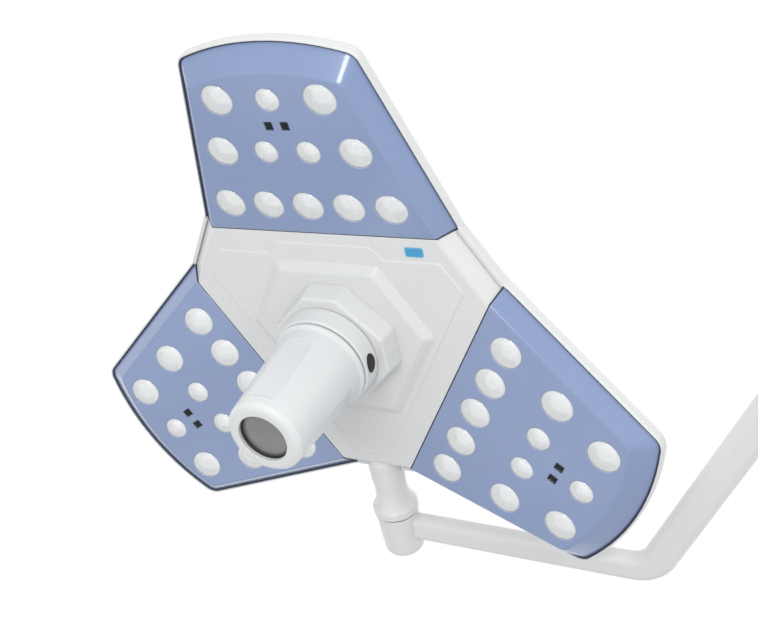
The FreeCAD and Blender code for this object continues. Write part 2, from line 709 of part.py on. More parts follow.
def joint_circlip():
    """Retaining ring of a joint axle, in the joint's frame."""
    clip = circlip(AXLE_R - 1.1, JOINT_BORE_R - 0.6, 1.4)
    clip.translate(Vector(0, 0, JOINT_LENGTH - 1.3))
    return clip


def control_board():
    """Control board on the frame's back, with its taller components."""
    board = extrude(sided_wire(hub_sides(62, 78), 28.2), 1.6)
    board = board.cut(rod(12, 27, 4))
    blocks = [
        box(-60, -44, -12, 8, 24.4, 28.2),
        box(38, 58, -24, -6, 22.4, 28.2),
        box(-36, -24, 34, 52, 22.4, 28.2)]
    return board.fuse(blocks)


def bearing_tube():
    """Tube fixed in the frame, in which the handle core turns."""
    tube = ring(BEARING_R, BEARING_BORE_R, -42, 62)
    return tube.fuse(ring(34, BEARING_R, 20, 3)).fuse(ring(BEARING_R, BEARING_BORE_R, 20, 3))


def handle_bushes():
    """Two plain bushes between bearing tube and core."""
    inner = JOURNAL_R + RUNNING_GAP
    return Part.makeCompound([
        ring(BEARING_BORE_R, inner, -41, 10),
        ring(BEARING_BORE_R, inner, 6, 10)])


def status_badge():
    """Small raised badge on the hub's face."""
    badge = box(-8.5, 8.5, -4.5, 4.5, 0, 0.9)
    badge = badge.makeFillet(1.5, [e for e in badge.Edges if abs(e.tangentAt(0).z) > 0.9])
    badge.translate(Vector(92.5, -96, HUB_FACE_Z - 0.9))
    return badge


# ---- Handle core, button and sleeve ----
def core_collar():
    """White collar that turns with the core, with the button's opening at +X."""
    floor_top = COLLAR_FLOOR_Z + COLLAR_FLOOR
    collar = revolve([
        (COLLAR_BORE_R, COLLAR_TOP_Z),
        (COLLAR_R - 1.0, COLLAR_TOP_Z),
        (COLLAR_R, COLLAR_TOP_Z - 1.0),
        (COLLAR_R - 1.3, COLLAR_FLOOR_Z + 1.2),
        (COLLAR_R - 2.5, COLLAR_FLOOR_Z),
        (SLEEVE_NECK_R + 1.0, COLLAR_FLOOR_Z),
        (SLEEVE_NECK_R + 1.0, floor_top),
        (COLLAR_BORE_R, floor_top)])
    return collar.cut(button_prism(30, 20, 0.3))


def button_prism(start_x, length, gap):
    """Oval prism along +X at the button's place, grown by a gap."""
    ellipse = Part.Ellipse(Vector(0, 0, 0), BUTTON_HALF_WIDTH + gap, BUTTON_HALF_HEIGHT + gap)
    face = Part.Face(Part.Wire([ellipse.toShape()]))
    solid = face.extrude(Vector(0, 0, length))
    return placed(solid, frame_placement(Y_AXIS, Z_AXIS, X_AXIS, Vector(start_x, 0, BUTTON_Z)))


def core_tube():
    """Aluminium core: journal in the bearing, flange, and the barrel that carries the sleeve."""
    flange_top = COLLAR_TOP_Z - 0.6
    flange_foot = flange_top - 2.0
    core = revolve([
        (16, 19),
        (JOURNAL_R, 19),
        (JOURNAL_R, flange_top),
        (COLLAR_BORE_R, flange_top),
        (COLLAR_BORE_R, flange_foot),
        (CORE_R, flange_foot),
        (CORE_R, CORE_END_Z),
        (CORE_R - CORE_WALL, CORE_END_Z),
        (CORE_R - CORE_WALL, flange_foot - 3.0),
        (16, flange_foot - 3.0)])
    return core.cut(ring(JOURNAL_R + 1, JOURNAL_R - 1.2, 16.4, 1.6))


def core_circlip():
    """Retaining ring on the core's journal, above the upper bush."""
    clip = circlip(JOURNAL_R - 1.1, BEARING_BORE_R - 0.7, 1.4)
    clip.translate(Vector(0, 0, 16.5))
    return clip


def camera_body():
    """Camera module in the barrel, with cooling grooves and a mounting ring."""
    body = rod(21, -148, 84)
    grooves = [ring(22, 19.5, -140 + 8 * index, 3) for index in range(6)]
    return body.cut(grooves).fuse(ring(CORE_R - CORE_WALL, 20, -80, 6))


def camera_lens():
    """Camera objective: a stepped barrel with a domed front."""
    return revolve([
        (0, -148), (15, -148), (15, -153), (13, -154), (13, -159),
        (11, -160), (6, -161), (0, -161.3)])


def camera_window():
    """Grey window at the end of the core."""
    return rod(WINDOW_R, -167.2, 2.4)


def window_bezel():
    """Dark ring that holds the window in the core's mouth."""
    return revolve([
        (WINDOW_R, -167.2),
        (WINDOW_R + 0.8, -168.4),
        (CORE_R - 1.0, -168.4),
        (CORE_R - 1.0, CORE_END_Z),
        (CORE_R - CORE_WALL, CORE_END_Z),
        (CORE_R - CORE_WALL, -162.5),
        (WINDOW_R - 1.5, -162.5),
        (WINDOW_R - 1.5, -164.8),
        (WINDOW_R, -164.8)])


def latch_plate():
    """Ring-shaped latch that the button pushes towards -X, round the sleeve's neck."""
    plate = stadium(LATCH_R, LATCH_Z, LATCH_THICKNESS)
    return plate.cut(stadium(LATCH_HOLE_R, LATCH_Z - 1, LATCH_THICKNESS + 2))


def stadium(radius, z, height):
    """Round disc stretched along +X by the button's travel."""
    disc = Part.makeCylinder(radius, height, Vector(0, 0, z))
    far = Part.makeCylinder(radius, height, Vector(BUTTON_TRAVEL, 0, z))
    return disc.fuse([far, box(0, BUTTON_TRAVEL, -radius, radius, z, z + height)]).removeSplitter()


def release_button():
    """Oval dark button, domed to the collar's roundness, on the latch plate."""
    pad = button_prism(LATCH_HOLE_R + BUTTON_TRAVEL, 8, 0)
    crown = revolve([(0, -80), (COLLAR_R - 0.2, -80), (COLLAR_R - 0.2, -30), (0, -30)])
    return pad.common(crown).cut(latch_plate())


def button_spring():
    """Leaf spring on the collar's inner wall, opposite the button, drawn as when pressed."""
    leaf = ring(COLLAR_BORE_R - 0.05, COLLAR_BORE_R - 0.45, LATCH_Z - 1, 4.0)
    return leaf.common(box(-60, -30, -16, 16, -80, -30))


def sleeve_outside():
    """Outer form of the sleeve: neck, flange, tapered grip and rounded mouth."""
    return revolve([
        (0, SLEEVE_NECK_TOP_Z),
        (SLEEVE_NECK_R - 1.0, SLEEVE_NECK_TOP_Z),
        (SLEEVE_NECK_R, SLEEVE_NECK_TOP_Z - 1.0),
        (SLEEVE_NECK_R, LATCH_Z + 2.7),
        (SLEEVE_NECK_R - 1.6, LATCH_Z + 2.7),
        (SLEEVE_NECK_R - 1.6, LATCH_Z - 0.7),
        (SLEEVE_NECK_R, LATCH_Z - 0.7),
        (SLEEVE_NECK_R, SLEEVE_TOP_Z),
        (SLEEVE_FLANGE_R - 1.0, SLEEVE_TOP_Z),
        (SLEEVE_FLANGE_R, SLEEVE_TOP_Z - 1.0),
        (SLEEVE_FLANGE_R, SLEEVE_TOP_Z - 3.0),
        (SLEEVE_FLANGE_R - 1.0, SLEEVE_TOP_Z - 4.4),
        (SLEEVE_ROOT_R, SLEEVE_TOP_Z - 6.0),
        (SLEEVE_TIP_R, SLEEVE_TIP_Z),
        (SLEEVE_TIP_R - 0.8, SLEEVE_END_Z + 4.5),
        (SLEEVE_TIP_R - 3.6, SLEEVE_END_Z + 1.2),
        (SLEEVE_MOUTH_R + 6.0, SLEEVE_END_Z),
        (0, SLEEVE_END_Z)])


def sleeve_bore():
    """Inside of the sleeve: wide at the neck, a close fit near the mouth."""
    return revolve([
        (0, SLEEVE_NECK_TOP_Z + 1),
        (SLEEVE_NECK_R - 3.5, SLEEVE_NECK_TOP_Z + 1),
        (SLEEVE_NECK_R - 3.5, SLEEVE_TOP_Z - 8),
        (CORE_R + 1.8, -148),
        (CORE_R + 0.4, -150),
        (CORE_R + 0.4, -169.2),
        (SLEEVE_MOUTH_R, -169.2),
        (SLEEVE_MOUTH_R, SLEEVE_END_Z - 1),
        (0, SLEEVE_END_Z - 1)])


def sleeve_flats(sleeve):
    """Three soft flats on the grip, which end short of the mouth and leave a lobed lip."""
    lean = math.atan2(SLEEVE_ROOT_R - SLEEVE_TIP_R, SLEEVE_TOP_Z - 6.0 - SLEEVE_TIP_Z)
    middle_z = (SLEEVE_FLAT_TOP_Z + SLEEVE_TIP_Z) / 2
    middle_r = SLEEVE_TIP_R + (middle_z - SLEEVE_TIP_Z) * math.tan(lean)
    half = (SLEEVE_FLAT_TOP_Z - SLEEVE_TIP_Z) / 2
    cutters = []
    for angle in SLEEVE_FLAT_ANGLES:
        slab = box(0, 12, -30, 30, -half, half)
        slab.rotate(Vector(0, 0, 0), Y_AXIS, math.degrees(lean))
        slab.translate(Vector(middle_r - SLEEVE_FLAT_DEPTH, 0, middle_z))
        slab.rotate(Vector(0, 0, 0), Z_AXIS, angle)
        cutters.append(slab)
    return sleeve.cut(cutters)


def handle_sleeve():
    """White sterilisable sleeve, pulled off downwards."""
    sleeve = sleeve_flats(sleeve_outside()).cut(sleeve_bore())
    groove = ring(CORE_R + 2.4, CORE_R - 1, SLEEVE_SEAL_Z - 1.2, 2.4)
    return sleeve.cut(groove)


def sleeve_seal():
    """O-ring near the sleeve's mouth."""
    return ring(CORE_R + 2.4, CORE_R + RUNNING_GAP, SLEEVE_SEAL_Z - 1.2, 2.4)


# ---- Joints, in their own frame: z runs along the axle from the seam to the rounded cap ----
def joint_housing():
    """Housing of a friction joint, bored for the bushes and for the brake screw."""
    housing = revolve([
        (JOINT_BORE_R, 0),
        (JOINT_R - 0.8, 0),
        (JOINT_R, 0.8),
        (JOINT_END_R, JOINT_LENGTH),
        (JOINT_BORE_R, JOINT_LENGTH)])
    return housing.cut(rod(3.0, 10, 20, -Y_AXIS, Vector(0, 0, BRAKE_Z)))


def joint_cap():
    """Rounded cap on a joint housing, hollow over the axle's end."""
    top = JOINT_LENGTH + JOINT_CAP
    section = Part.Wire([
        line(Vector(0, 0, JOINT_LENGTH + 3.5), Vector(JOINT_BORE_R + 1, 0, JOINT_LENGTH + 3.5)),
        line(Vector(JOINT_BORE_R + 1, 0, JOINT_LENGTH + 3.5),
             Vector(JOINT_BORE_R + 1, 0, JOINT_LENGTH)),
        line(Vector(JOINT_BORE_R + 1, 0, JOINT_LENGTH), Vector(JOINT_END_R, 0, JOINT_LENGTH)),
        arc(Vector(JOINT_END_R, 0, JOINT_LENGTH),
            Vector(JOINT_END_R - 2.0, 0, JOINT_LENGTH + 4.2), Vector(JOINT_END_R - 7, 0, top)),
        line(Vector(JOINT_END_R - 7, 0, top), Vector(0, 0, top)),
        line(Vector(0, 0, top), Vector(0, 0, JOINT_LENGTH + 3.5))])
    return Part.Face(section).revolve(Vector(0, 0, 0), Z_AXIS, 360)


def joint_bush_pair():
    """Two plain bushes in a joint housing."""
    inner = AXLE_R + RUNNING_GAP
    return [ring(JOINT_BORE_R, inner, 2, 10), ring(JOINT_BORE_R, inner, 31, 9.5)]


def brake_shoe():
    """Curved friction shoe between the bushes, on the screw's side."""
    shoe = ring(JOINT_BORE_R - 0.1, AXLE_R + RUNNING_GAP, BRAKE_Z - 6.5, 13)
    return shoe.common(box(-11, 11, -20, -4, 0, JOINT_LENGTH))


def brake_screw():
    """Adjusting screw of the brake, with a socket head outside the housing."""
    centre = Vector(0, 0, BRAKE_Z)
    screw = rod(3.0, JOINT_BORE_R - 0.1, 8.5, -Y_AXIS, centre)
    screw = screw.fuse(rod(5.0, JOINT_R - 0.2, 3.4, -Y_AXIS, centre))
    return screw.cut(rod(2.4, JOINT_R + 1.4, 4, -Y_AXIS, centre))


def joint_seal():
    """Dark ring in the seam between a joint's moving and fixed side."""
    return ring(JOINT_R - 0.9, JOINT_R - 3.5, -SEAL_WIDTH, SEAL_WIDTH)


def at_joints(shapes):
    """Compound of shapes of a joint's own frame, at the tilt joint and at the swing joint."""
    return Part.makeCompound([placed(shape, frame) for frame in (TILT_FRAME, SWING_FRAME)
                              for shape in shapes])


# ---- Bow and arm spigot ----
def stadium_wire(width, thickness):
    """Flat-oval section across a leg that runs along +X: width along Y, thickness along Z."""
    flat = (width - thickness) / 2
    half = thickness / 2
    return Part.Wire([
        line(Vector(0, -flat, half), Vector(0, flat, half)),
        arc(Vector(0, flat, half), Vector(0, flat + half, 0), Vector(0, flat, -half)),
        line(Vector(0, flat, -half), Vector(0, -flat, -half)),
        arc(Vector(0, -flat, -half), Vector(0, -flat - half, 0), Vector(0, -flat, half))])


def bow_form(width, thickness):
    """Two straight legs joined by a round bend."""
    tangent = BOW_BEND_R * math.tan(BOW_ANGLE / 2)
    bend_x = BOW_CORNER_X - tangent
    section = Part.Face(stadium_wire(width, thickness))
    section.translate(Vector(0, BOW_Y, 0))
    first = section.extrude(Vector(bend_x, 0, 0))
    section.translate(Vector(bend_x, 0, 0))
    centre = Vector(bend_x, BOW_Y - BOW_BEND_R, 0)
    bend = section.revolve(centre, -Z_AXIS, math.degrees(BOW_ANGLE))
    second = Part.Face(stadium_wire(width, thickness))
    reach = BOW_Y / math.sin(BOW_ANGLE) - tangent
    second = second.extrude(Vector(reach, 0, 0))
    second.rotate(Vector(0, 0, 0), Z_AXIS, -math.degrees(BOW_ANGLE))
    start_x = BOW_CORNER_X + tangent * math.cos(BOW_ANGLE)
    second.translate(Vector(start_x, BOW_Y - tangent * math.sin(BOW_ANGLE), 0))
    return first.fuse([bend, second]).removeSplitter()


def bow_tube():
    """Bent flat-oval tube from the tilt joint's housing to the swing joint's."""
    outer = bow_form(BOW_WIDTH, BOW_THICKNESS)
    inner = bow_form(BOW_WIDTH - 2 * BOW_WALL, BOW_THICKNESS - 2 * BOW_WALL)
    cap_end = JOINT_LENGTH + JOINT_CAP
    solid_housing = revolve([(0, -1), (JOINT_R, -1), (JOINT_R, 0.8),
                             (JOINT_END_R, JOINT_LENGTH), (JOINT_END_R, cap_end), (0, cap_end)])
    return outer.cut(inner).cut([placed(solid_housing, TILT_FRAME),
                                 placed(solid_housing, SWING_FRAME)])


def x_revolve(profile):
    """Solid of revolution about the X axis from (radius, x) points."""
    frame = frame_placement(Y_AXIS, Z_AXIS, X_AXIS, Vector(0, 0, 0))
    return placed(revolve(profile), frame)


def arm_spigot():
    """Hollow steel axle of the swing joint, and the spigot that plugs into the arm."""
    inner_end = SWING_SEAM_X - JOINT_LENGTH - 2.5
    neck_x = SWING_SEAM_X + AXLE_SHOULDER
    wall_end = SPIGOT_START_X + SPIGOT_LENGTH
    spigot = x_revolve([
        (AXLE_BORE_R, inner_end),
        (AXLE_R, inner_end),
        (AXLE_R, neck_x),
        (SPIGOT_R + 1, neck_x),
        (SPIGOT_R + 1, SPIGOT_START_X),
        (SPIGOT_R, SPIGOT_START_X),
        (SPIGOT_R, wall_end),
        (SPIGOT_R - 1.5, wall_end),
        (SPIGOT_R - 1.5, wall_end + 3.0),
        (SPIGOT_R, wall_end + 3.0),
        (SPIGOT_R, SPIGOT_END_X - 1.5),
        (SPIGOT_R - 1.5, SPIGOT_END_X),
        (AXLE_BORE_R, SPIGOT_END_X)])
    groove_x = SWING_SEAM_X - JOINT_LENGTH - 0.2
    return spigot.cut(ring(AXLE_R + 1, AXLE_R - 1.2, groove_x, 1.6, X_AXIS))


def arm_collar():
    """White collar that is fixed on the spigot next to the swing joint."""
    start = SWING_SEAM_X + SEAL_WIDTH + 0.3
    return x_revolve([
        (SPIGOT_R + 1, SWING_SEAM_X + AXLE_SHOULDER),
        (AXLE_R, SWING_SEAM_X + AXLE_SHOULDER),
        (AXLE_R, start),
        (STUB_COLLAR_R - 1, start),
        (STUB_COLLAR_R, start + 1),
        (STUB_COLLAR_R, 438),
        (STUB_COLLAR_R - 4, SPIGOT_START_X),
        (SPIGOT_R + 1, SPIGOT_START_X)])


# ---- All nodes ----
def petal_nodes():
    """Nodes that each petal has one of."""
    nodes = {}
    parts = {
        "petal_cover": petal_cover(),
        "petal_gasket": petal_gasket(),
        "large_lenses": at_places(lens(LARGE_LENS_R), LARGE_PLACES),
        "small_lenses": at_places(lens(SMALL_LENS_R), SMALL_PLACES),
        "led_board": led_board(),
        "heat_sink": heat_sink()}
    for name, shape in parts.items():
        for number, angle in enumerate(PETAL_ANGLES, start=1):
            nodes[f"{name}_{number}"] = placed(shape, petal_frame(angle))
    return nodes


def shared_petal_nodes():
    """Small identical pieces of all three petals, one node for each kind."""
    holders = [at_places(lens_holder(LARGE_LENS_R), LARGE_PLACES),
               at_places(lens_holder(SMALL_LENS_R), SMALL_PLACES)]
    sensors = [sensor_block(place, BOARD_TOP, BOARD_TOP + 4, 0.6) for place in SENSOR_PLACES]
    windows = [sensor_block(place, -1.8, -0.3, 0.03) for place in SENSOR_PLACES]
    pieces = {
        "lens_holders": Part.makeCompound(holders),
        "leds": at_places(led(), LARGE_PLACES + SMALL_PLACES),
        "distance_sensors": Part.makeCompound(sensors),
        "sensor_windows": Part.makeCompound(windows)}
    return {name: Part.makeCompound(in_petals(shape)) for name, shape in pieces.items()}


def hub_nodes():
    """Nodes of the hub and of the stub."""
    return {
        "rear_housing": rear_housing(),
        "hub_cover": hub_cover(),
        "boss_cover": boss_cover(),
        "status_badge": status_badge(),
        "rear_cap": rear_cap(),
        "housing_screws": housing_screws(),
        "inner_frame": inner_frame(),
        "control_board": control_board(),
        "bearing_tube": bearing_tube(),
        "handle_bushes": handle_bushes(),
        "head_stub": head_stub(),
        "stub_bolts": stub_bolts(),
        "head_axle": head_axle(),
        "tilt_circlip": placed(joint_circlip(), TILT_FRAME)}


def handle_nodes():
    """Nodes of the handle core, the release button and the sleeve."""
    return {
        "core_collar": core_collar(),
        "core_tube": core_tube(),
        "core_circlip": core_circlip(),
        "camera_body": camera_body(),
        "camera_lens": camera_lens(),
        "camera_window": camera_window(),
        "window_bezel": window_bezel(),
        "release_button": release_button(),
        "latch_plate": latch_plate(),
        "button_spring": button_spring(),
        "handle_sleeve": handle_sleeve(),
        "sleeve_seal": sleeve_seal()}


def bow_nodes():
    """Nodes of the bow and of the arm spigot."""
    return {
        "bow_tube": bow_tube(),
        "tilt_housing": placed(joint_housing(), TILT_FRAME),
        "swing_housing": placed(joint_housing(), SWING_FRAME),
        "joint_caps": at_joints([joint_cap()]),
        "joint_bushes": at_joints(joint_bush_pair()),
        "brake_shoes": at_joints([brake_shoe()]),
        "brake_screws": at_joints([brake_screw()]),
        "joint_seals": at_joints([joint_seal()]),
        "arm_spigot": arm_spigot(),
        "arm_collar": arm_collar(),
        "swing_circlip": placed(joint_circlip(), SWING_FRAME)}


def main():
    """Write one STEP file for each node, with the origin in the middle of the spigot."""
    os.makedirs("parts", exist_ok=True)
    nodes = {**petal_nodes(), **shared_petal_nodes(), **hub_nodes(), **handle_nodes(),
             **bow_nodes()}
    for name, shape in nodes.items():
        shape.translate(-ORIGIN)
        if not shape.isValid():
            print("not valid:", name)
        print(name, len(shape.Solids), round(shape.Volume))
        shape.exportStep(f"parts/{name}.step")


main()
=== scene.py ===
"""Looks of the three-lobed LED operating light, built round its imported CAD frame. Metres."""
import bmesh
import bpy
import math
from mathutils import Matrix, Vector


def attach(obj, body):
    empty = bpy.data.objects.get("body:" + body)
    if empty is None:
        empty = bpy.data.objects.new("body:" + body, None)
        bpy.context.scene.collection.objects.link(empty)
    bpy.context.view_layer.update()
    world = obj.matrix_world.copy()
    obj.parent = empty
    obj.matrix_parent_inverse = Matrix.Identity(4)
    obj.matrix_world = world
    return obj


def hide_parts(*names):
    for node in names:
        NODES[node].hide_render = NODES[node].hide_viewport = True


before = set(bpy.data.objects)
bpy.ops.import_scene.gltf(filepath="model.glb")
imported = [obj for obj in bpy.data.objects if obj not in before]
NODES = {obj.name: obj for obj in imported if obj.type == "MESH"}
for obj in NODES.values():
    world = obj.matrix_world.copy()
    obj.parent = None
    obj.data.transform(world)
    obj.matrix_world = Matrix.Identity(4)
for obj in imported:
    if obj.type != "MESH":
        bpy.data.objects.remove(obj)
bpy.context.view_layer.update()
MM = 0.001

# ---- Dimensions shared with the CAD, in millimetres, about the head's centre ----
HEAD = Vector((-462.0, 0.0, 0.0))
PETAL_ANGLES = (-90.0, 30.0, 150.0)
PETAL_TILT = math.radians(10.0)
REF_RADIUS = 200.0
FACE_DROP = 31.0
LARGE_R = 15.1
SMALL_R = 11.3
LARGE_PLACES = [(step * 41.25, 140.6) for step in (-2, -1, 0, 1, 2)]
LARGE_PLACES += [(-66.8, 200.0), (66.8, 200.0), (-50.9, 254.0), (50.9, 254.0)]
SMALL_PLACES = [(-21.2, 200.0), (21.2, 200.0), (0.0, 254.0)]
SENSOR_PLACES = [(-8.0, 227.6), (8.0, 227.6)]
SENSOR_WIDTH = 6.2
SENSOR_LENGTH = 7.1

# ---- Shapes that only the looks have, in millimetres ----
RING_STEPS = 48
DOME_STEPS = 7
DOME_HEIGHT = 2.5
DOME_LEDGE = 1.7                # flat ledge between a dome and its lens's rim
BOWL_SIDES = 8
FRAME_BAR = 0.7
FRAME_TOP = 0.25
FRAME_FOOT = -0.2

# ---- Surface settings, in metres where they are lengths ----
NOISE_SPAN = (0.3, 0.7)         # the part of a noise's values that is spread over 0 to 1
NOISE_CORE = (0.35, 0.65)       # the same, for a harder contrast
EDGE_HIGHLIGHT_SPAN = (0.84, 0.975)       # painted edge highlights fade out between these two
EDGE_HIGHLIGHT_WIDTH = 0.0018
COAT_ROUGHNESS = 0.06
METAL_SHADE = 0.82              # dark marks in metal, as a share of its colour
METAL_GRAIN = 0.00003
METAL_EDGE = 0.0003


# ---- Node-graph helpers ----
class Graph:
    """Short way to build one material's nodes."""

    def __init__(self, name):
        self.material = bpy.data.materials.new(name)
        self.material.use_nodes = True
        self.tree = self.material.node_tree
        self.shader = self.tree.nodes["Principled BSDF"]
        self.output = self.tree.nodes["Material Output"]

    def node(self, kind, **settings):
        """New node; settings are its properties or, if it has no such property, its inputs."""
        made = self.tree.nodes.new(kind)
        for key, value in settings.items():
            if hasattr(made, key):
                setattr(made, key, value)
            else:
                made.inputs[key.replace("_", " ")].default_value = value
        return made

    def link(self, source, target):
        self.tree.links.new(source, target)

    def place(self):
        """Object coordinates, in metres."""
        return self.node("ShaderNodeTexCoord").outputs["Object"]

    def noise(self, scale, detail=3.0):
        made = self.node("ShaderNodeTexNoise", Scale=scale, Detail=detail, Roughness=0.5)
        self.link(self.place(), made.inputs["Vector"])
        return made.outputs["Fac"]

    def remap(self, value, low, high, from_low=0.0, from_high=1.0):
        """Value moved from one range to another, and held to it."""
        made = self.node("ShaderNodeMapRange")
        made.inputs["From Min"].default_value = from_low
        made.inputs["From Max"].default_value = from_high
        made.inputs["To Min"].default_value = low
        made.inputs["To Max"].default_value = high
        self.link(value, made.inputs["Value"])
        return made.outputs["Result"]

    def mix(self, factor, first, second):
        """Colour mix; first and second are colours or sockets."""
        made = self.node("ShaderNodeMix", data_type="RGBA")
        for index, value in ((6, first), (7, second)):
            if isinstance(value, bpy.types.NodeSocket):
                self.link(value, made.inputs[index])
            else:
                made.inputs[index].default_value = (*value, 1.0)
        self.link(factor, made.inputs["Factor"])
        return made.outputs[2]

    def soft_edges(self, radius):
        """Normal rounded over sharp edges."""
        return self.node("ShaderNodeBevel", samples=6, Radius=radius).outputs["Normal"]

    def edge_highlight_mask(self, radius):
        """0 on flat areas, up to 1 along edges; it places the painted edge highlights."""
        rounded = self.soft_edges(radius)
        flat = self.node("ShaderNodeNewGeometry").outputs["Normal"]
        dot = self.node("ShaderNodeVectorMath", operation="DOT_PRODUCT")
        self.link(rounded, dot.inputs[0])
        self.link(flat, dot.inputs[1])
        return self.remap(dot.outputs["Value"], 1.0, 0.0, *EDGE_HIGHLIGHT_SPAN)

    def bump(self, height, distance, normal=None):
        made = self.node("ShaderNodeBump", Strength=1.0, Distance=distance)
        self.link(height, made.inputs["Height"])
        if normal is not None:
            self.link(normal, made.inputs["Normal"])
        return made.outputs["Normal"]

    def set(self, **values):
        """Constants on the shader's own sockets."""
        for key, value in values.items():
            self.shader.inputs[key.replace("_", " ")].default_value = value


def moulded(name, colour, shade, rough, coat, grain, depth, edge, edge_highlight_colour=None):
    """Injection-moulded or painted surface: faint mottling, fine grain, soft edges, and a painted
    highlight along edges where an edge highlight colour is given.
    """
    g = Graph(name)
    base = g.mix(g.remap(g.noise(14.0, 4.0), 0.0, 1.0, *NOISE_SPAN), colour, shade)
    # Painted highlight: a lighter colour laid along edges, where light would catch them.
    if edge_highlight_colour is not None:
        base = g.mix(g.edge_highlight_mask(EDGE_HIGHLIGHT_WIDTH), base, edge_highlight_colour)
    g.link(base, g.shader.inputs["Base Color"])
    g.link(g.remap(g.noise(60.0, 5.0), rough * 0.85, rough * 1.15, *NOISE_SPAN),
           g.shader.inputs["Roughness"])
    fine = g.bump(g.noise(grain, 2.0), depth, g.soft_edges(edge))
    g.link(fine, g.shader.inputs["Normal"])
    g.link(fine, g.shader.inputs["Coat Normal"])
    g.set(Coat_Weight=coat, Coat_Roughness=COAT_ROUGHNESS, IOR=1.5)
    return g.material


def metal(name, colour, rough, scratch_scale, stretch=(1, 1, 1)):
    """Turned or extruded metal with fine directional marks."""
    g = Graph(name)
    mapping = g.node("ShaderNodeMapping")
    mapping.inputs["Scale"].default_value = stretch
    g.link(g.place(), mapping.inputs["Vector"])
    marks = g.node("ShaderNodeTexNoise", Scale=scratch_scale, Detail=6.0, Roughness=0.6)
    g.link(mapping.outputs["Vector"], marks.inputs["Vector"])
    tone = g.mix(g.remap(marks.outputs["Fac"], 0.0, 1.0, *NOISE_SPAN), colour,
                 tuple(channel * METAL_SHADE for channel in colour))
    g.link(tone, g.shader.inputs["Base Color"])
    g.link(g.remap(marks.outputs["Fac"], rough * 0.8, rough * 1.3, *NOISE_SPAN),
           g.shader.inputs["Roughness"])
    g.link(g.bump(marks.outputs["Fac"], METAL_GRAIN, g.soft_edges(METAL_EDGE)),
           g.shader.inputs["Normal"])
    g.set(Metallic=1.0)
    return g.material


# ---- Materials ----
# The edge highlight colours of BLUE, WHITE, SLEEVE_WHITE and BADGE are painted highlights along
# edges.
BLUE = moulded("periwinkle_gloss", (0.222, 0.292, 0.475), (0.212, 0.281, 0.460),
               rough=0.18, coat=0.7, grain=2600.0, depth=0.000012, edge=0.0021,
               edge_highlight_colour=(0.50, 0.58, 0.80))
WHITE = moulded("white_moulded", (0.652, 0.660, 0.655), (0.638, 0.646, 0.642),
                rough=0.30, coat=0.30, grain=900.0, depth=0.000004, edge=0.0012,
                edge_highlight_colour=(0.78, 0.785, 0.78))
SLEEVE_WHITE = moulded("white_sterilisable", (0.655, 0.667, 0.663), (0.641, 0.653, 0.650),
                       rough=0.36, coat=0.2, grain=2400.0, depth=0.000008, edge=0.0014,
                       edge_highlight_colour=(0.80, 0.805, 0.80))
PAINT = moulded("powder_coat", (0.680, 0.687, 0.685), (0.662, 0.669, 0.668),
                rough=0.38, coat=0.15, grain=1500.0, depth=0.00002, edge=0.0008)
GASKET = moulded("navy_seal", (0.020, 0.024, 0.055), (0.030, 0.034, 0.070),
                 rough=0.55, coat=0.0, grain=3500.0, depth=0.00003, edge=0.0003)
BUTTON = moulded("button_rubber", (0.006, 0.007, 0.008), (0.012, 0.013, 0.014),
                 rough=0.55, coat=0.0, grain=2800.0, depth=0.00004, edge=0.0006)
BADGE = moulded("badge_cyan", (0.030, 0.300, 0.560), (0.026, 0.275, 0.525),
                rough=0.25, coat=0.5, grain=3000.0, depth=0.00001, edge=0.0004,
                edge_highlight_colour=(0.12, 0.45, 0.70))
BOARD_WHITE = moulded("board_white", (0.70, 0.71, 0.70), (0.62, 0.63, 0.62),
                      rough=0.45, coat=0.0, grain=2000.0, depth=0.00002, edge=0.0002)
BOARD_GREEN = moulded("board_green", (0.012, 0.110, 0.035), (0.010, 0.085, 0.028),
                      rough=0.35, coat=0.3, grain=1800.0, depth=0.00002, edge=0.0002)
LINING = moulded("brake_lining", (0.060, 0.058, 0.055), (0.095, 0.090, 0.085),
                 rough=0.80, coat=0.0, grain=1600.0, depth=0.0001, edge=0.0002)
PHOSPHOR = moulded("led_phosphor", (0.85, 0.66, 0.16), (0.80, 0.60, 0.12),
                   rough=0.5, coat=0.1, grain=2500.0, depth=0.00002, edge=0.0002)
STEEL = metal("turned_steel", (0.58, 0.59, 0.60), rough=0.25, scratch_scale=900.0,
              stretch=(8, 1, 1))
ALUMINIUM = metal("extruded_aluminium", (0.62, 0.63, 0.65), rough=0.35, scratch_scale=500.0,
                  stretch=(1, 8, 1))
CASTING = metal("cast_aluminium", (0.42, 0.43, 0.44), rough=0.55, scratch_scale=1200.0)
BRONZE = metal("bush_bronze", (0.58, 0.38, 0.16), rough=0.35, scratch_scale=900.0,
               stretch=(6, 1, 1))
ANODISED = metal("black_anodised", (0.035, 0.035, 0.038), rough=0.35, scratch_scale=900.0,
                 stretch=(1, 1, 6))


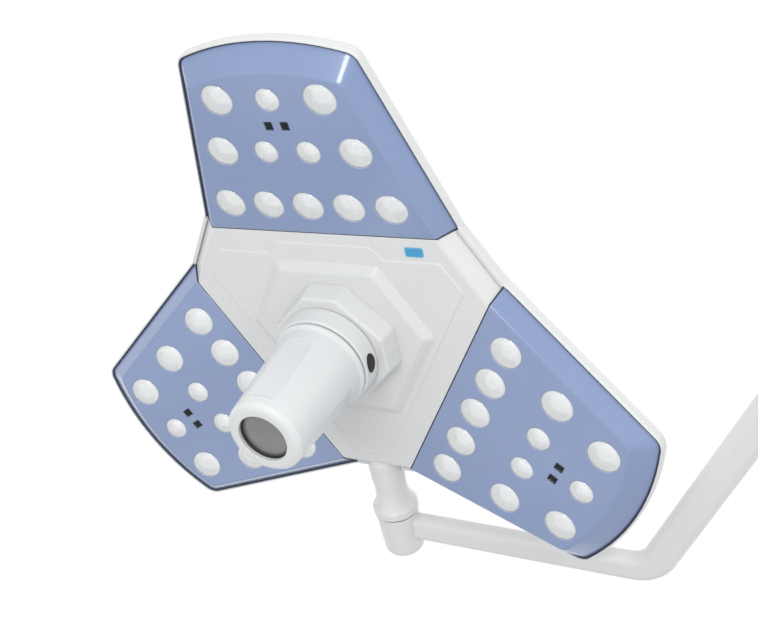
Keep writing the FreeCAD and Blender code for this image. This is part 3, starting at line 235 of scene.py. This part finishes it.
def window_glass():
    """Smoked window of the handle: mid grey, with a darker ring at its rim."""
    rim_start = 0.0200
    rim_full = 0.0206
    g = Graph("smoked_window")
    split = g.node("ShaderNodeSeparateXYZ")
    centred = g.node("ShaderNodeVectorMath", operation="SUBTRACT")
    centred.inputs[1].default_value = HEAD * MM
    g.link(g.place(), centred.inputs[0])
    g.link(centred.outputs["Vector"], split.inputs["Vector"])
    flat = g.node("ShaderNodeCombineXYZ")
    g.link(split.outputs["X"], flat.inputs["X"])
    g.link(split.outputs["Y"], flat.inputs["Y"])
    length = g.node("ShaderNodeVectorMath", operation="LENGTH")
    g.link(flat.outputs["Vector"], length.inputs[0])
    rim = g.remap(length.outputs["Value"], 0.0, 1.0, rim_start, rim_full)
    haze = g.mix(g.remap(g.noise(45.0, 2.0), 0.0, 1.0, *NOISE_CORE), (0.130, 0.134, 0.135),
                 (0.155, 0.159, 0.160))
    g.link(g.mix(rim, haze, (0.075, 0.078, 0.080)), g.shader.inputs["Base Color"])
    g.link(g.remap(g.noise(90.0, 3.0), 0.05, 0.10), g.shader.inputs["Roughness"])
    g.set(Coat_Weight=1.0, Coat_Roughness=0.02, IOR=1.52)
    return g.material


def sensor_glass():
    """Black infra-red window with a faint green cast deeper in."""
    g = Graph("sensor_black_glass")
    g.link(g.mix(g.remap(g.noise(420.0, 2.0), 0.0, 1.0, *NOISE_CORE), (0.002, 0.004, 0.004),
                 (0.010, 0.020, 0.015)), g.shader.inputs["Base Color"])
    g.link(g.remap(g.noise(200.0), 0.05, 0.12), g.shader.inputs["Roughness"])
    g.set(IOR=1.30)
    return g.material


def clear_dome():
    """Clear lens skin with a milky body: partly see-through, with a strong gloss on top."""
    g = Graph("lens_clear")
    g.tree.nodes.remove(g.shader)
    see = g.node("ShaderNodeBsdfTransparent", Color=(0.97, 0.98, 0.985, 1.0))
    milk = g.node("ShaderNodeBsdfDiffuse", Color=(0.86, 0.87, 0.88, 1.0))
    gloss = g.node("ShaderNodeBsdfGlossy", Color=(1.0, 1.0, 1.0, 1.0), Roughness=0.03)
    g.link(g.bump(g.noise(90.0, 1.0), 0.00003), gloss.inputs["Normal"])
    body = g.node("ShaderNodeMixShader")
    g.link(g.remap(g.noise(60.0, 2.0), 0.22, 0.32, *NOISE_SPAN), body.inputs["Fac"])
    g.link(see.outputs["BSDF"], body.inputs[1])
    g.link(milk.outputs["BSDF"], body.inputs[2])
    rim = g.node("ShaderNodeFresnel", IOR=2.6)
    lens = g.node("ShaderNodeMixShader")
    g.link(rim.outputs["Fac"], lens.inputs["Fac"])
    g.link(body.outputs["Shader"], lens.inputs[1])
    g.link(gloss.outputs["BSDF"], lens.inputs[2])
    g.link(lens.outputs["Shader"], g.output.inputs["Surface"])
    return g.material


def bowl_white():
    """Bright white inside of a lens, with a painted glow: its emission stands in for the light
    that comes in through the clear dome.
    """
    g = Graph("lens_bowl_white")
    g.link(g.mix(g.remap(g.noise(120.0, 2.0), 0.0, 1.0, *NOISE_CORE), (0.88, 0.89, 0.88),
                 (0.80, 0.81, 0.81)), g.shader.inputs["Base Color"])
    g.link(g.remap(g.noise(300.0), 0.18, 0.28), g.shader.inputs["Roughness"])
    # Painted light: the emission makes the bowl glow as if lit through the dome.
    g.set(Coat_Weight=0.8, Coat_Roughness=0.05, Emission_Color=(1.0, 1.0, 1.0, 1.0),
          Emission_Strength=0.24)
    return g.material


WINDOW = window_glass()
SENSOR = sensor_glass()
LENS = clear_dome()
BOWL = bowl_white()

MATERIAL_OF = {
    BLUE: ["petal_cover_1", "petal_cover_2", "petal_cover_3"],
    GASKET: ["petal_gasket_1", "petal_gasket_2", "petal_gasket_3", "joint_seals", "sleeve_seal"],
    WHITE: ["rear_housing", "hub_cover", "boss_cover", "rear_cap", "core_collar", "joint_caps",
            "arm_collar", "lens_holders"],
    SLEEVE_WHITE: ["handle_sleeve"],
    PAINT: ["head_stub", "bow_tube", "tilt_housing", "swing_housing"],
    STEEL: ["housing_screws", "stub_bolts", "head_axle", "tilt_circlip", "core_circlip",
            "latch_plate", "button_spring", "brake_screws", "arm_spigot", "swing_circlip",
            "bearing_tube"],
    ALUMINIUM: ["heat_sink_1", "heat_sink_2", "heat_sink_3"],
    CASTING: ["inner_frame", "core_tube"],
    BRONZE: ["handle_bushes", "joint_bushes"],
    ANODISED: ["camera_body", "camera_lens"],
    BUTTON: ["release_button", "window_bezel"],
    BADGE: ["status_badge"],
    BOARD_WHITE: ["led_board_1", "led_board_2", "led_board_3"],
    BOARD_GREEN: ["control_board"],
    LINING: ["brake_shoes"],
    PHOSPHOR: ["leds"],
    WINDOW: ["camera_window"],
    SENSOR: ["distance_sensors", "sensor_windows"],
}
for material, names in MATERIAL_OF.items():
    for name in names:
        data = NODES[name].data
        data.materials.clear()
        data.materials.append(material)


# ---- Mesh helpers ----
def petal_matrix(angle):
    """Petal's own frame in metres: +Y outwards along its face, +Z towards the light field."""
    phi = math.radians(angle)
    across = Vector((-math.sin(phi), math.cos(phi), 0))
    outward = Vector((math.cos(phi), math.sin(phi), 0))
    along = outward * math.cos(PETAL_TILT) - Vector((0, 0, 1)) * math.sin(PETAL_TILT)
    normal = across.cross(along)
    origin = HEAD + outward * REF_RADIUS - Vector((0, 0, FACE_DROP))
    turn = Matrix((across, along, normal)).transposed().to_4x4()
    return Matrix.Translation(origin * MM) @ turn


def face_point(place):
    """(across, radius) in millimetres as a point on the face in a petal's frame, in metres."""
    across, radius = place
    return Vector((across, (radius - REF_RADIUS) / math.cos(PETAL_TILT), 0)) * MM


def turned(mesh, profile, origin, shape=None):
    """Adds a turned surface about Z to a bmesh, from (radius, z) millimetres; shape(angle, index)
    scales the radius of a ring at an angle."""
    rings = []
    for index, (radius, z) in enumerate(profile):
        if radius == 0:
            rings.append([mesh.verts.new(origin + Vector((0, 0, z * MM)))])
            continue
        points = []
        for step in range(RING_STEPS):
            angle = 2 * math.pi * step / RING_STEPS
            r = radius * (shape(angle, index) if shape else 1.0) * MM
            points.append(mesh.verts.new(
                origin + Vector((r * math.cos(angle), r * math.sin(angle), z * MM))))
        rings.append(points)
    for inner, outer in zip(rings, rings[1:]):
        for step in range(RING_STEPS):
            after = (step + 1) % RING_STEPS
            corners = [inner[step % len(inner)], outer[step % len(outer)],
                       outer[after % len(outer)], inner[after % len(inner)]]
            unique = list(dict.fromkeys(corners))
            if len(unique) > 2:
                mesh.faces.new(unique)


def finish_mesh(mesh, name, material, matrix, body, replaced=(), smooth=True):
    """Turns a bmesh into an object that rides on a body."""
    bmesh.ops.recalc_face_normals(mesh, faces=mesh.faces)
    data = bpy.data.meshes.new(name)
    mesh.to_mesh(data)
    mesh.free()
    data.transform(matrix)
    for polygon in data.polygons:
        polygon.use_smooth = smooth
    data.materials.append(material)
    made = bpy.data.objects.new(name, data)
    bpy.context.scene.collection.objects.link(made)
    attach(made, body)
    if replaced:
        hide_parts(*replaced)
    return made


# ---- Lenses: a clear dome over a faceted white bowl ----
def dome_profile(radius):
    """Clear skin of a lens: raised rim, shallow groove, and a dome."""
    points = [(radius, -3.2), (radius + 0.2, -0.9), (radius + 0.1, -0.2), (radius - 0.5, 0.1),
              (radius - 1.1, -0.05), (radius - DOME_LEDGE, 0.0)]
    edge = radius - DOME_LEDGE
    for step in range(1, DOME_STEPS + 1):
        r = edge * (1 - step / DOME_STEPS)
        points.append((r, DOME_HEIGHT * (1 - (r / edge) ** 2)))
    points[-1] = (0, points[-1][1])
    return points


def bowl_profile(radius):
    """White bowl under the dome, with a low island in its middle."""
    return [(radius - 0.35, -1.1), (radius - 1.6, -1.6), (radius * 0.80, -3.6),
            (radius * 0.62, -6.4), (radius * 0.44, -8.2), (radius * 0.40, -6.6),
            (radius * 0.30, -5.9), (radius * 0.15, -5.6), (0, -5.5)]


def facets(angle, index):
    """Eight flat sides on the bowl's wall, inside a round rim."""
    if index < 2:
        return 1.0
    half_side = math.pi / BOWL_SIDES
    return math.cos(half_side) / math.cos(angle % (2 * half_side) - half_side)


for number, angle in enumerate(PETAL_ANGLES, 1):
    skins = bmesh.new()
    bowls = bmesh.new()
    for places, radius in ((LARGE_PLACES, LARGE_R), (SMALL_PLACES, SMALL_R)):
        for place in places:
            turned(skins, dome_profile(radius), face_point(place))
            turned(bowls, bowl_profile(radius), face_point(place), facets)
    finish_mesh(skins, f"lens_domes_{number}", LENS, petal_matrix(angle), "head",
                (f"large_lenses_{number}", f"small_lenses_{number}"))
    finish_mesh(bowls, f"lens_bowls_{number}", BOWL, petal_matrix(angle), "head",
                smooth=False)


# ---- Raised black frames round the sensor windows ----
def add_block(mesh, x0, x1, y0, y1, z0, z1):
    """Adds a box between two corners in a petal's frame, in metres."""
    for vertex in bmesh.ops.create_cube(mesh, size=1.0)["verts"]:
        vertex.co = Vector((x0 + (vertex.co.x + 0.5) * (x1 - x0),
                            y0 + (vertex.co.y + 0.5) * (y1 - y0),
                            z0 + (vertex.co.z + 0.5) * (z1 - z0)))


def add_sensor_frame(mesh, place):
    """Four thin bars round one window, standing a little above the face."""
    centre = face_point(place)
    half_x = SENSOR_WIDTH / 2 * MM
    half_y = SENSOR_LENGTH / 2 * MM
    bar = FRAME_BAR * MM
    foot = FRAME_FOOT * MM
    top = FRAME_TOP * MM
    for side in (-1, 1):
        x = centre.x + side * (half_x + bar / 2)
        add_block(mesh, x - bar / 2, x + bar / 2, centre.y - half_y - bar, centre.y + half_y + bar,
                  foot, top)
        y = centre.y + side * (half_y + bar / 2)
        add_block(mesh, centre.x - half_x, centre.x + half_x, y - bar / 2, y + bar / 2,
                  foot, top)


for number, angle in enumerate(PETAL_ANGLES, 1):
    frames = bmesh.new()
    for place in SENSOR_PLACES:
        add_sensor_frame(frames, place)
    finish_mesh(frames, f"sensor_frames_{number}", BUTTON, petal_matrix(angle), "head",
                smooth=False)

# ---- Studio, in metres; lights are placed and aimed about the head ----
FLOOR_Z = -2.0
FLOOR_HALF = 45.0
CAMERA_PLACE = (0.1220, -0.6487, -0.8713)
CAMERA_BACK = (0.5276, -0.4499, -0.7206)
CAMERA_RIGHT = (0.8483, 0.2333, 0.4754)
CAMERA_LENS = 61.7
CAMERA_SENSOR = 36.0
CAMERA_SHIFT = (0.135, -0.120)
CAMERA_REACH = 120.0
LIGHTS = {
    # name: (place, aim, (width, height), power in watts)
    "softbox": ((-0.25, 0.12, -1.60), (-0.25, 0.12, 0.0), (2.6, 2.6), 7.0),
    "front": ((-0.5, -1.9, -0.5), (0, 0, -0.1), (1.1, 1.1), 7.0),
    "kicker": ((0.28, -1.15, -1.66), (0, -0.2, 0), (0.7, 0.6), 12.0),
    "side": ((1.6, -0.9, -0.35), (0, 0, -0.1), (0.6, 1.0), 9.0),
    "top": ((0.3, 0.6, 1.8), (0, 0, 0), (1.6, 1.6), 2.0),
}


def floor_material():
    g = Graph("pale_floor")
    g.link(g.mix(g.remap(g.noise(1.5, 4.0), 0.0, 1.0, *NOISE_SPAN), (0.58, 0.585, 0.60),
                 (0.55, 0.555, 0.57)), g.shader.inputs["Base Color"])
    g.link(g.remap(g.noise(6.0), 0.55, 0.7), g.shader.inputs["Roughness"])
    return g.material


def add_floor():
    mesh = bmesh.new()
    bmesh.ops.create_grid(mesh, x_segments=8, y_segments=8, size=FLOOR_HALF)
    data = bpy.data.meshes.new("floor")
    mesh.to_mesh(data)
    mesh.free()
    data.materials.append(floor_material())
    made = bpy.data.objects.new("floor", data)
    made.location = (HEAD.x * MM, 0, FLOOR_Z)
    bpy.context.scene.collection.objects.link(made)


def add_light(name, place, aim, size, power):
    """Rectangular soft light at a place, facing aim."""
    data = bpy.data.lights.new(name, "AREA")
    data.shape = "RECTANGLE"
    data.size, data.size_y = size
    data.energy = power
    made = bpy.data.objects.new(name, data)
    start = HEAD * MM + Vector(place)
    end = HEAD * MM + Vector(aim)
    made.location = start
    made.rotation_mode = "QUATERNION"
    made.rotation_quaternion = (end - start).to_track_quat("-Z", "Y")
    bpy.context.scene.collection.objects.link(made)


def add_world():
    world = bpy.data.worlds.new("studio")
    world.use_nodes = True
    sky = world.node_tree.nodes["Background"]
    sky.inputs["Color"].default_value = (1.0, 1.0, 1.0, 1.0)
    sky.inputs["Strength"].default_value = 1.0
    bpy.context.scene.world = world


def add_camera():
    """Below the head and in front of it, looking up at its lit side."""
    data = bpy.data.cameras.new("camera")
    data.lens = CAMERA_LENS
    data.sensor_width = CAMERA_SENSOR
    data.shift_x, data.shift_y = CAMERA_SHIFT
    data.dof.use_dof = False
    data.clip_end = CAMERA_REACH
    made = bpy.data.objects.new("camera", data)
    back = Vector(CAMERA_BACK).normalized()
    up = back.cross(Vector(CAMERA_RIGHT)).normalized()
    right = up.cross(back).normalized()
    turn = Matrix((right, up, back)).transposed().to_4x4()
    made.matrix_world = Matrix.Translation(Vector(CAMERA_PLACE)) @ turn
    bpy.context.scene.collection.objects.link(made)
    bpy.context.scene.camera = made


bpy.context.scene.view_settings.view_transform = "Standard"
add_world()
add_floor()
for name, settings in LIGHTS.items():
    add_light(name, *settings)
add_camera()

bpy.context.view_layer.update()
